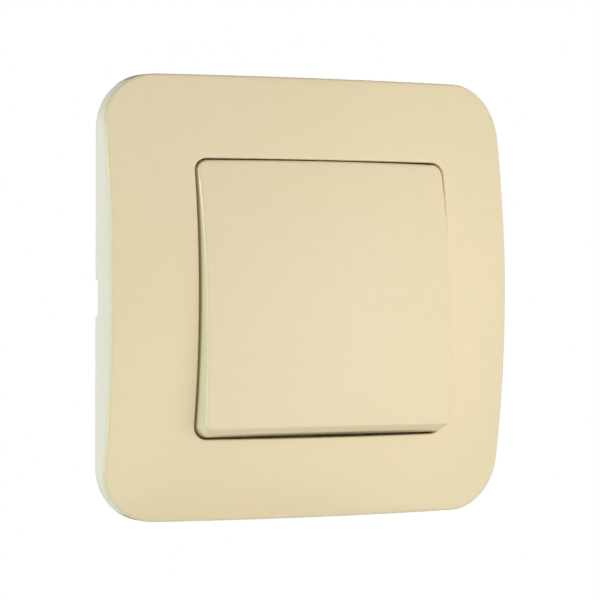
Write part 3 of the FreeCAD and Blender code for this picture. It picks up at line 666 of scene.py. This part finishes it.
def frame_opening_edge(stations):
    """Rings round the opening's front edge, down its wall and up the collar's outside."""
    rings = []
    base = [(x, z - OPENING_DROP * max(0, -nz) - TOP_DROP * max(0, nz), nx, nz)
            for x, z, nx, nz in outline(OPENING_HALF_X, OPENING_HALF_Z, OPENING_CORNER_R, stations)]
    for step in range(EDGE_STEPS, -1, -1):
        ring = []
        for x, z, nx, nz in base:
            fall = -slope_inward(x, z, nx, nz)
            edge = dome(FRAME_CROWN, x, z)
            centre = edge + fall * OPENING_EDGE_R - OPENING_EDGE_R * math.hypot(1, fall)
            turn = (0.5 * math.pi - math.atan(fall)) * step / EDGE_STEPS
            out = OPENING_EDGE_R * (1 - math.cos(turn))
            ring.append((x + out * nx, centre + OPENING_EDGE_R * math.sin(turn), z + out * nz))
        rings.append(ring)
    rear = -SLEEVE_REAR
    for out, height in ((0.0, rear + RIM_R), (RIM_MIDDLE, rear + RIM_MIDDLE), (RIM_R, rear),
                        (SLEEVE_WALL - RIM_R, rear), (SLEEVE_WALL - RIM_MIDDLE, rear + RIM_MIDDLE),
                        (SLEEVE_WALL, rear + RIM_R)):
        rings.append([(x + out * nx, height, z + out * nz) for x, z, nx, nz in base])
    rings.append([])
    for x, z, nx, nz in base:
        x, z = x + SLEEVE_WALL * nx, z + SLEEVE_WALL * nz
        rings[-1].append((x, dome(FRAME_CROWN - FRAME_WALL, x, z), z))
    return rings


def frame_inner_wall(stations):
    """Rings from the hollow's dome down the inside of the side wall to the rear rim."""
    half = PLATE_HALF - FRAME_WALL
    base = outline(half, half, PLATE_CORNER_R - FRAME_WALL, stations)
    top = []
    for x, z, nx, nz in base:
        height = dome(FRAME_CROWN - FRAME_WALL, x, z)
        inset = SIDE_DRAFT * height
        top.append((x - inset * nx, height, z - inset * nz))
    rings = [top]
    for inset, rise in ((0.0, RIM_R), (-RIM_MIDDLE, RIM_MIDDLE), (-RIM_R, 0.0)):
        rings.append([(x - inset * nx, frame_side_height(x, z) + rise, z - inset * nz)
                      for x, z, nx, nz in base])
    return rings


def frame_leg(bm, side_x, side_z):
    x0 = side_x * LEG_X - 0.5 * LEG_WIDTH
    root = SLEEVE_REAR - 1.0
    profile = [
        (root, LEG_INNER_Z), (LEG_REAR, LEG_INNER_Z), (LEG_REAR, LEG_OUTER_Z - LEG_LEAD),
        (BARB_REAR, BARB_OUTER_Z), (BARB_FRONT, BARB_OUTER_Z), (BARB_FRONT, LEG_OUTER_Z),
        (root, LEG_OUTER_Z),
    ]
    prism(bm, [(x0, y, side_z * z) for y, z in profile], (LEG_WIDTH, 0, 0), LEG_SOFT)


def frame_rib(bm, side, place, upright):
    """Rib from the collar to the side wall, with its front edge inside the dome's skin."""
    near = (OPENING_HALF_Z if upright else OPENING_HALF_X) + 0.5 * SLEEVE_WALL
    far = PLATE_HALF - 0.5 * FRAME_WALL
    half = 0.5 * RIB_THICK
    across = place - half
    front = []
    for share in (1.0, 0.75, 0.5, 0.25, 0.0):
        reach = side * (near + (far - near) * share)
        x, z = (across, reach) if upright else (reach, across)
        front.append((x, -dome(FRAME_CROWN - 0.5 * FRAME_WALL, x, z), z))
    rear = [(x, RIB_REAR, z) for x, y, z in (front[-1], front[0])]
    prism(bm, front + rear, (RIB_THICK, 0, 0) if upright else (0, 0, RIB_THICK))


def cover_frame():
    bm = bmesh.new()
    straight = PLATE_HALF - PLATE_CORNER_R
    marks = (NOTCH_HALF, NOTCH_HALF - NOTCH_SLOPE)
    stations = side_stations(straight, [sign * mark for sign in (-1, 1) for mark in marks])
    outer = frame_outer_edge(stations)
    opening = frame_opening_edge(stations)
    inner = frame_inner_wall(stations)
    skin = []
    for i in range(1, DOME_STEPS):
        ring = mix_rings(outer[-1], opening[0], i / DOME_STEPS)
        skin.append([(x, dome(FRAME_CROWN, x, z), z) for x, height, z in ring])
    hollow = []
    for i in range(1, DOME_STEPS // 2):
        ring = mix_rings(opening[-1], inner[0], 2 * i / DOME_STEPS)
        hollow.append([(x, dome(FRAME_CROWN - FRAME_WALL, x, z), z) for x, height, z in ring])
    loft(bm, outer + skin + opening + hollow + inner, loop=True)
    for side in (-1, 1):
        for other in (-1, 1):
            frame_leg(bm, other, side)
        for place in RIB_PLACES:
            frame_rib(bm, side, place, True)
            frame_rib(bm, side, place, False)
    show(bm, "cover_frame_shell", "cover_frame", SHELL_SHARP)


# ---------------------------------------------------------------- rocker key

def bevel_share(nx, nz):
    """1 where the key's edge has the finger bevel, 0 where it has the small rounding."""
    below = math.degrees(math.atan2(-nz, abs(nx))) / 90
    start, length = BEVEL_FADE
    return smooth_step((below - start) / length)


def bevel_profile(edge, front):
    """(inset, height) points down the finger bevel; front(inset) is the dome's height."""
    low = (-BEVEL_FLARE * FLARE, edge - BEVEL_DEPTH)
    high = (BEVEL_HEIGHT, front(BEVEL_HEIGHT))
    run = Vector((high[0] - low[0], high[1] - low[1]))
    step = run.normalized() * BEVEL_SOFT
    corners = (
        ((low[0], low[1] - BEVEL_SOFT), low, (low[0] + step.x, low[1] + step.y)),
        ((high[0] - step.x, high[1] - step.y), high,
         (high[0] + BEVEL_SOFT, front(high[0] + BEVEL_SOFT))),
    )
    points = []
    for a, b, c in corners:
        for i in range(BEVEL_POINTS):
            t = i / (BEVEL_POINTS - 1)
            points.append(tuple((1 - t) ** 2 * p + 2 * t * (1 - t) * q + t * t * r
                                for p, q, r in zip(a, b, c)))
    return points


def round_profile(edge, rise):
    """(inset, height) points round the small edge radius, as many as the bevel has."""
    centre = edge + rise * KEY_EDGE_R - KEY_EDGE_R * math.hypot(1, rise)
    last = 0.5 * math.pi - math.atan(rise)
    points = []
    count = 2 * BEVEL_POINTS
    for i in range(count):
        turn = last * i / (count - 1)
        points.append((KEY_EDGE_R * (1 - math.cos(turn)), centre + KEY_EDGE_R * math.sin(turn)))
    return points


def key_edge(stations):
    """Rings round the key's front edge, with the finger bevel along the bottom."""
    crown = FRAME_CROWN + KEY_PROUD
    columns = []
    for x, z, nx, nz in outline(KEY_HALF_X, KEY_HALF_Z, KEY_CORNER_R, stations):
        lean = SIDE_DRAFT * (dome(crown, x, z) + KEY_REAR)
        x, z = x - lean * nx, z - lean * nz - TOP_DROP * max(0, nz)
        edge = dome(crown, x, z)
        share = bevel_share(nx, nz)
        bevelled = bevel_profile(edge, lambda inset: dome(crown, x - inset * nx, z - inset * nz))
        rounded = round_profile(edge, slope_inward(x, z, nx, nz))
        column = []
        for (inset_a, height_a), (inset_b, height_b) in zip(rounded, bevelled):
            inset = inset_a + (inset_b - inset_a) * share
            height = height_a + (height_b - height_a) * share
            column.append((x - inset * nx, height, z - inset * nz))
        columns.append(column)
    return [list(ring) for ring in zip(*columns)]


def key_ring(stations, inset, height, radius_extra=0.0, flare=0.0):
    """Ring round the key's side wall, offset inward, at one height."""
    inset = inset + SIDE_DRAFT * (height + KEY_REAR)
    half_x, half_z = KEY_HALF_X - inset, KEY_HALF_Z - inset
    radius = KEY_CORNER_R + radius_extra - inset
    return [(x, height, z - flare * max(0, -nz) ** FLARE_POWER - TOP_DROP * max(0, nz))
            for x, z, nx, nz in outline(half_x, half_z, radius, stations)]


def rocker_key():
    bm = bmesh.new()
    crown = FRAME_CROWN + KEY_PROUD
    stations = side_stations(KEY_HALF_X - KEY_CORNER_R)
    rear = -KEY_REAR
    rim = [key_ring(stations, KEY_WALL - RIM_R, rear, KEY_INNER_EXTRA_R)]
    for inset, height in ((RIM_R, rear), (RIM_MIDDLE, rear + RIM_MIDDLE), (0, rear + RIM_R),
                          (0, FLARE_HEIGHT)):
        rim.append(key_ring(stations, inset, height, 0, FLARE))
    edge = key_edge(stations)
    front = []
    for i in range(1, DOME_STEPS + 1):
        share = 1 - i / (DOME_STEPS + 1)
        front.append([(x * share, dome(crown, x * share, z * share), z * share)
                      for x, height, z in edge[-1]])
    inside_wall = [key_ring(stations, KEY_WALL, rear + RIM_R, KEY_INNER_EXTRA_R)]
    corner = key_ring(stations, KEY_WALL, KEY_INNER_TOP, KEY_INNER_EXTRA_R)
    inside_front = []
    for i in range(DOME_STEPS // 2 + 1):
        share = 1 - i / (DOME_STEPS // 2 + 1)
        inside_front.append([(x * share, dome(crown - KEY_WALL, x * share, z * share), z * share)
                             for x, height, z in corner])
    rings = inside_front[::-1] + inside_wall + rim + edge + front
    loft(bm, rings, caps=((0, (0, crown - KEY_WALL, 0)), (-1, (0, crown, 0))))
    inner = CARRIER_HALF_Z + POST_GAP
    hook = CARRIER_REAR + POST_GAP
    root = -(crown - 0.75 * KEY_WALL) + POST_ROOT
    for side in (-1, 1):
        z0 = side * KEY_RIB_Z - 0.5 * KEY_RIB_THICK
        rib_root = -dome(crown - 0.9 * KEY_WALL, CARRIER_HALF_X, z0)
        rib = [(-CARRIER_HALF_X, rib_root, z0), (CARRIER_HALF_X, rib_root, z0),
               (CARRIER_HALF_X, CARRIER_FRONT, z0), (-CARRIER_HALF_X, CARRIER_FRONT, z0)]
        prism(bm, rib, (0, 0, KEY_RIB_THICK), POST_SOFT)
        profile = [
            (root, inner), (hook, inner), (hook, inner - POST_HOOK),
            (hook + POST_HOOK_LAND, inner - POST_HOOK), (POST_REAR, inner + POST_LEAD),
            (POST_REAR, inner + POST_THICK), (root, inner + POST_THICK),
        ]
        for side_x in (-1, 1):
            x0 = side_x * POST_X - 0.5 * POST_WIDTH
            prism(bm, [(x0, y, side * z) for y, z in profile], (POST_WIDTH, 0, 0), POST_SOFT)
    tilt(bm, REST_TILT, PIVOT_Y)
    show(bm, "rocker_key_shell", "rocker_key", SHELL_SHARP)


# ---------------------------------------------------------------- mechanism

def plunger():
    ball_y = PLUNGER_TIP - PLUNGER_TIP_R
    profile = [(0, PLUNGER_FRONT), (PLUNGER_R, PLUNGER_FRONT), (PLUNGER_R, PLUNGER_SHOULDER),
               (PLUNGER_TIP_R, ball_y - PLUNGER_NECK), (PLUNGER_TIP_R, ball_y)]
    profile = eased(profile, PLUNGER_SOFT)
    for i in range(1, PLUNGER_TIP_STEPS):
        turn = 0.5 * math.pi * i / PLUNGER_TIP_STEPS
        profile.append((PLUNGER_TIP_R * math.cos(turn), ball_y + PLUNGER_TIP_R * math.sin(turn)))
    profile.append((0, PLUNGER_TIP))
    bm = bmesh.new()
    turned(bm, profile)
    tilt(bm, REST_TILT, PIVOT_Y)
    show(bm, "plunger_turned", "plunger")


def plunger_spring():
    """Compression spring with closed, ground ends."""
    low = SPRING_FRONT + SPRING_GROUND * SPRING_WIRE_R
    high = SPRING_REAR - SPRING_GROUND * SPRING_WIRE_R
    closed = 2 * SPRING_WIRE_R * SPRING_WIRE_GAP
    pitch = (high - low - 2 * SPRING_CLOSED * closed) / (SPRING_TURNS - 2 * SPRING_CLOSED)
    rings = []
    steps = round(SPRING_TURNS * COIL_STEPS)
    for i in range(steps + 1):
        turn = i / COIL_STEPS
        ends = min(turn, SPRING_CLOSED), max(0.0, turn - SPRING_TURNS + SPRING_CLOSED)
        middle = turn - ends[0] - ends[1]
        y = low + closed * (ends[0] + ends[1]) + pitch * middle
        out = Vector((math.cos(2 * math.pi * turn), 0, math.sin(2 * math.pi * turn)))
        ring = []
        for j in range(WIRE_STEPS):
            angle = 2 * math.pi * j / WIRE_STEPS
            place = out * (SPRING_R + SPRING_WIRE_R * math.cos(angle))
            height = min(SPRING_REAR, max(SPRING_FRONT, y + SPRING_WIRE_R * math.sin(angle)))
            ring.append((place.x, -height, place.z))
        rings.append(ring)
    bm = bmesh.new()
    middles = [[sum(point[k] for point in ring) / WIRE_STEPS for k in range(3)]
               for ring in (rings[0], rings[-1])]
    loft(bm, rings, caps=((0, middles[0]), (-1, middles[1])))
    tilt(bm, REST_TILT, PIVOT_Y)
    made = show(bm, "plunger_spring_wound", "plunger_spring")
    turn = Matrix.Rotation(math.radians(REST_TILT), 3, "X")
    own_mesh(made)


def housing_rivets():
    """Four rivets: domed heads in front, rolled ends with a pit behind."""
    front, rear = COVER_FRONT, BASE_DEPTH
    dome_head = [(0, front - RIVET_HEAD)]
    for i in range(1, DOME_END_STEPS + 1):
        turn = RIVET_DOME_ARC * i / DOME_END_STEPS
        drop = (1 - math.cos(turn)) / (1 - math.cos(RIVET_DOME_ARC))
        dome_head.append((RIVET_HEAD_R * math.sin(turn) / math.sin(RIVET_DOME_ARC),
                          front - RIVET_HEAD + drop * (RIVET_HEAD - RIVET_RIM)))
    seats = [(RIVET_HEAD_R, front), (RIVET_R, front), (RIVET_R, rear), (RIVET_HEAD_R - 0.15, rear)]
    rolled = [(radius, rear + depth) for radius, depth in RIVET_ROLL]
    bm = bmesh.new()
    for x in (-RIVET_PLACE, RIVET_PLACE):
        for z in (-RIVET_PLACE, RIVET_PLACE):
            turned(bm, dome_head + seats + rolled, x, z)
    show(bm, "housing_rivets_set", "housing_rivets")


def contact_tip(node, radius, seat, face, degrees):
    """Silver contact rivet with a slightly domed face."""
    way = 1 if face > seat else -1
    profile = [(0, seat), (radius, seat), (radius, face - way * TIP_DOME)]
    profile = eased(profile, TIP_SOFT)
    for i in range(1, DOME_END_STEPS + 1):
        turn = 0.5 * math.pi * i / DOME_END_STEPS
        profile.append((radius * math.cos(turn) ** 0.5 if i < DOME_END_STEPS else 0,
                        face - way * TIP_DOME * (1 - math.sin(turn))))
    bm = bmesh.new()
    turned(bm, profile, 0, CONTACT_TIP_Z)
    if degrees:
        tilt(bm, degrees, CONTACT_PIVOT_Y)
    show(bm, node + "_domed", node)


def threaded_rod(bm, x, z, start, end):
    """Closed threaded shank along Y; rows follow the helix, and the thread fades at both ends."""
    way = 1 if end > start else -1
    length = abs(end - start) - THREAD_CHAMFER
    turns = math.ceil(length / THREAD_PITCH) + 2
    rows = []
    for j in range(4 * turns + 1):
        along = j // 4 - 1 + THREAD_PLACES[j % 4]
        row = []
        for i in range(THREAD_STEPS):
            reach = min(length, max(0.0, (along + i / THREAD_STEPS) * THREAD_PITCH))
            fade = min(1.0, reach / THREAD_PITCH, (length - reach) / THREAD_PITCH)
            radius = THREAD_ROOT_R + (SHANK_R - THREAD_ROOT_R) * (fade if j % 4 > 1 else 0.0)
            angle = 2 * math.pi * i / THREAD_STEPS
            u, v = radius * math.cos(angle), radius * math.sin(angle)
            spot = (x + v, start + reach, z + u) if way > 0 else (x + u, start - reach, z + v)
            row.append(bm.verts.new(spot))
        rows.append(row)
    last = len(rows) - 1
    for j in range(last):
        for i in range(THREAD_STEPS):
            if i + 1 < THREAD_STEPS:
                corners = (rows[j][i], rows[j][i + 1], rows[j + 1][i + 1], rows[j + 1][i])
            else:
                corners = (rows[j][i], rows[min(j + 4, last)][0],
                           rows[min(j + 5, last)][0], rows[j + 1][i])
            bm.faces.new(dict.fromkeys(corners))
    middle = bm.verts.new((x, start, z))
    tip = bm.verts.new((x, end, z))
    rim = []
    share = 1 - THREAD_CHAMFER / THREAD_ROOT_R
    for vert in rows[last]:
        rim.append(bm.verts.new((x + (vert.co.x - x) * share, end, z + (vert.co.z - z) * share)))
    for i in range(THREAD_STEPS):
        j = (i + 1) % THREAD_STEPS
        bm.faces.new((rows[0][i], rows[0][j], middle))
        bm.faces.new((rows[last][i], rows[last][j], rim[j], rim[i]))
        bm.faces.new((rim[i], rim[j], tip))
    new = [middle, tip] + rim + [vert for row in rows for vert in row]
    bmesh.ops.remove_doubles(bm, verts=new, dist=MERGE_WITHIN)


def screw(node, x, z, seat, end):
    """The CAD screw's slotted head and shoulder, with a real thread on its shank."""
    way = 1 if end > seat else -1
    bm = softened(node, SCREW_SOFT)
    geometry = list(bm.verts) + list(bm.edges) + list(bm.faces)
    bmesh.ops.bisect_plane(bm, geom=geometry, plane_co=(0, seat + way * SHOULDER, 0),
                           plane_no=(0, way, 0), clear_outer=True)
    rim = [edge for edge in bm.edges if edge.is_boundary]
    bmesh.ops.holes_fill(bm, edges=rim)
    threaded_rod(bm, x, z, seat + way * THREAD_OVERLAP, end)
    show(bm, node + "_threaded", node)


# pieces made by rounding the CAD mesh's outer edges, with the width of the rounding in millimetres
SOFT_EDGES = {
    "rocker_carrier": 0.12, "mounting_strap": 0.1, "mechanism_base": 0.2, "mechanism_cover": 0.12,
    "contact_rocker": 0.08, "common_terminal_strip": 0.08, "load_terminal_strip": 0.08,
    "terminal_cage_common": 0.12, "terminal_cage_load": 0.12, "claw_left": 0.1, "claw_right": 0.1,
    "claw_nut_left": 0.12, "claw_nut_right": 0.12,
}

cover_frame()
rocker_key()
plunger()
plunger_spring()
housing_rivets()
contact_tip("moving_contact_tip", MOVING_TIP_R, CONTACT_PIVOT_Y, CONTACT_PIVOT_Y + MOVING_TIP_THICK,
            CONTACT_REST_TILT)
contact_tip("fixed_contact_tip", FIXED_TIP_R, STRIP_FRONT, FIXED_TIP_FRONT, 0)
for side, clamp, hand in ((-1, "common", "left"), (1, "load", "right")):
    screw("terminal_screw_" + clamp, side * TERMINAL_X, TERMINAL_Z,
          TERMINAL_SCREW_SEAT, TERMINAL_SCREW_TIP)
    screw("claw_screw_" + hand, side * CLAW_SCREW_X, 0, CLAW_SCREW_SEAT, CLAW_SCREW_TIP)
for node, width in SOFT_EDGES.items():
    piece = show(softened(node, width), node + "_soft", node)
    even = piece.modifiers.new("even_shading", "WEIGHTED_NORMAL")
    even.keep_sharp = True


# ---------------------------------------------------------------- CAD nodes and their finishes

for node, made in frame["nodes"].items():
    finish = FINISHES[SLOT_OF[node]]
    if not made.material_slots:
        made.data.materials.append(finish)
    for place in made.material_slots:
        place.material = finish


# ---------------------------------------------------------------- studio

WHITE = (1, 1, 1)
SOURCE_SIDE = (0.42, -0.90, -0.10)    # direction of the broad source
SOURCE_FOCUS = 3.0                    # power of the cosine that it falls off with
SOURCE_LIGHT = 1.60
AMBIENT_LIGHT = 0.38                  # from the front
AMBIENT_BEHIND = 0.16                 # from behind the switch
BEHIND_START = -0.2                   # share of Y in the direction where the change begins
BEHIND_FULL = 0.4                     # and where it is complete
FLOOR_HEIGHT = -0.5                   # in metres, as is all of the studio
FLOOR_RADIUS = 0.7
# name, place, (width, height), radiance, colour
LAMPS = (
    ("rear_card", (-0.27, 1.07, -0.03), (1.1, 1.3), 0.7, (0.9, 0.98, 1.2)),
    ("left_rear_card", (-0.54, 1.05, -0.03), (0.5, 0.84), 0.33, (1.0, 0.98, 1.3)),
    ("left_rear_core", (-0.54, 1.03, -0.03), (0.5, 0.46), 0.3, (1.0, 0.98, 1.3)),
    ("left_box", (-1.08, 0.20, -0.05), (0.34, 0.9), 5.0, (0.60, 0.97, 1.06)),
    ("upper_left_strip", (-1.03, 0.12, 0.20), (0.34, 0.05), 15.0, WHITE),
    ("lower_left_strip", (-1.03, 0.12, -0.20), (0.34, 0.05), 10.0, WHITE),
    ("right_box", (1.10, 0.12, -0.05), (0.6, 0.8), 0.6, WHITE),
    ("right_rear_card", (0.80, 0.90, 0.35), (0.6, 0.6), 2.4, WHITE),
    ("low_card", (-0.30, -0.60, -0.27), (0.5, 0.35), 0.5, (1.0, 0.94, 0.45)),
)


def lamp(name, place, size, radiance, colour):
    """Rectangular light that faces the origin; the white background has a radiance of 1."""
    data = bpy.data.lights.new(name, "AREA")
    data.shape = "RECTANGLE"
    data.size, data.size_y = size
    data.energy = radiance * math.pi * size[0] * size[1]
    data.color = colour
    made = bpy.data.objects.new(name, data)
    bpy.context.scene.collection.objects.link(made)
    made.location = place
    made.rotation_mode = "QUATERNION"
    made.rotation_quaternion = (-Vector(place)).to_track_quat("-Z", "Y")
    made.visible_camera = False


def world():
    """White to the camera; for all else a dim light, dimmer behind, and a broad soft source."""
    made = bpy.data.worlds.new("world")
    bpy.context.scene.world = made
    made.use_nodes = True
    tree = made.node_tree
    nodes = tree.nodes

    def math_node(operation, first, second):
        node = nodes.new("ShaderNodeMath")
        node.operation = operation
        tree.links.new(first, node.inputs[0])
        node.inputs[1].default_value = second
        return node.outputs["Value"]

    seen = nodes["Background"]
    seen.inputs["Color"].default_value = (*WHITE, 1)
    seen.inputs["Strength"].default_value = 1.0
    toward = nodes.new("ShaderNodeVectorMath")
    toward.operation = "DOT_PRODUCT"
    toward.inputs[1].default_value = Vector(SOURCE_SIDE).normalized()
    direction = nodes.new("ShaderNodeTexCoord").outputs["Generated"]
    tree.links.new(direction, toward.inputs[0])
    facing = math_node("MAXIMUM", toward.outputs["Value"], 0.0)
    source = math_node("MULTIPLY", math_node("POWER", facing, SOURCE_FOCUS), SOURCE_LIGHT)
    ambient = nodes.new("ShaderNodeBackground")
    ambient.inputs["Color"].default_value = (*WHITE, 1)
    split = nodes.new("ShaderNodeSeparateXYZ")
    tree.links.new(direction, split.inputs[0])
    behind = nodes.new("ShaderNodeMapRange")
    behind.interpolation_type = "SMOOTHSTEP"
    tree.links.new(split.outputs["Y"], behind.inputs["Value"])
    for name, value in (("From Min", BEHIND_START), ("From Max", BEHIND_FULL),
                        ("To Min", AMBIENT_LIGHT), ("To Max", AMBIENT_BEHIND)):
        behind.inputs[name].default_value = value
    total = nodes.new("ShaderNodeMath")
    tree.links.new(source, total.inputs[0])
    tree.links.new(behind.outputs["Result"], total.inputs[1])
    tree.links.new(total.outputs["Value"], ambient.inputs["Strength"])
    choose = nodes.new("ShaderNodeMixShader")
    tree.links.new(nodes.new("ShaderNodeLightPath").outputs["Is Camera Ray"], choose.inputs["Fac"])
    tree.links.new(ambient.outputs["Background"], choose.inputs[1])
    tree.links.new(seen.outputs["Background"], choose.inputs[2])
    tree.links.new(choose.outputs["Shader"], nodes["World Output"].inputs["Surface"])
    bpy.context.scene.view_settings.view_transform = "Standard"


def floor():
    """Plain pale round floor below the switch, clear of the front view."""
    bm = bmesh.new()
    bmesh.ops.create_circle(bm, cap_ends=True, segments=96, radius=FLOOR_RADIUS)
    mesh = bpy.data.meshes.new("floor")
    bm.to_mesh(mesh)
    bm.free()
    finish = Finish("floor", 0.6)
    finish.colour(finish.ramp(finish.noise(30, 4), [(0.3, (0.78, 0.78, 0.77)),
                                                    (0.7, (0.81, 0.81, 0.80))]))
    finish.bump([(finish.noise(900, 3), 0.0001, 0.2)])
    mesh.materials.append(finish.material)
    made = bpy.data.objects.new("floor", mesh)
    made.location = (0, 0, FLOOR_HEIGHT)
    bpy.context.scene.collection.objects.link(made)


world()
floor()
for row in LAMPS:
    lamp(*row)
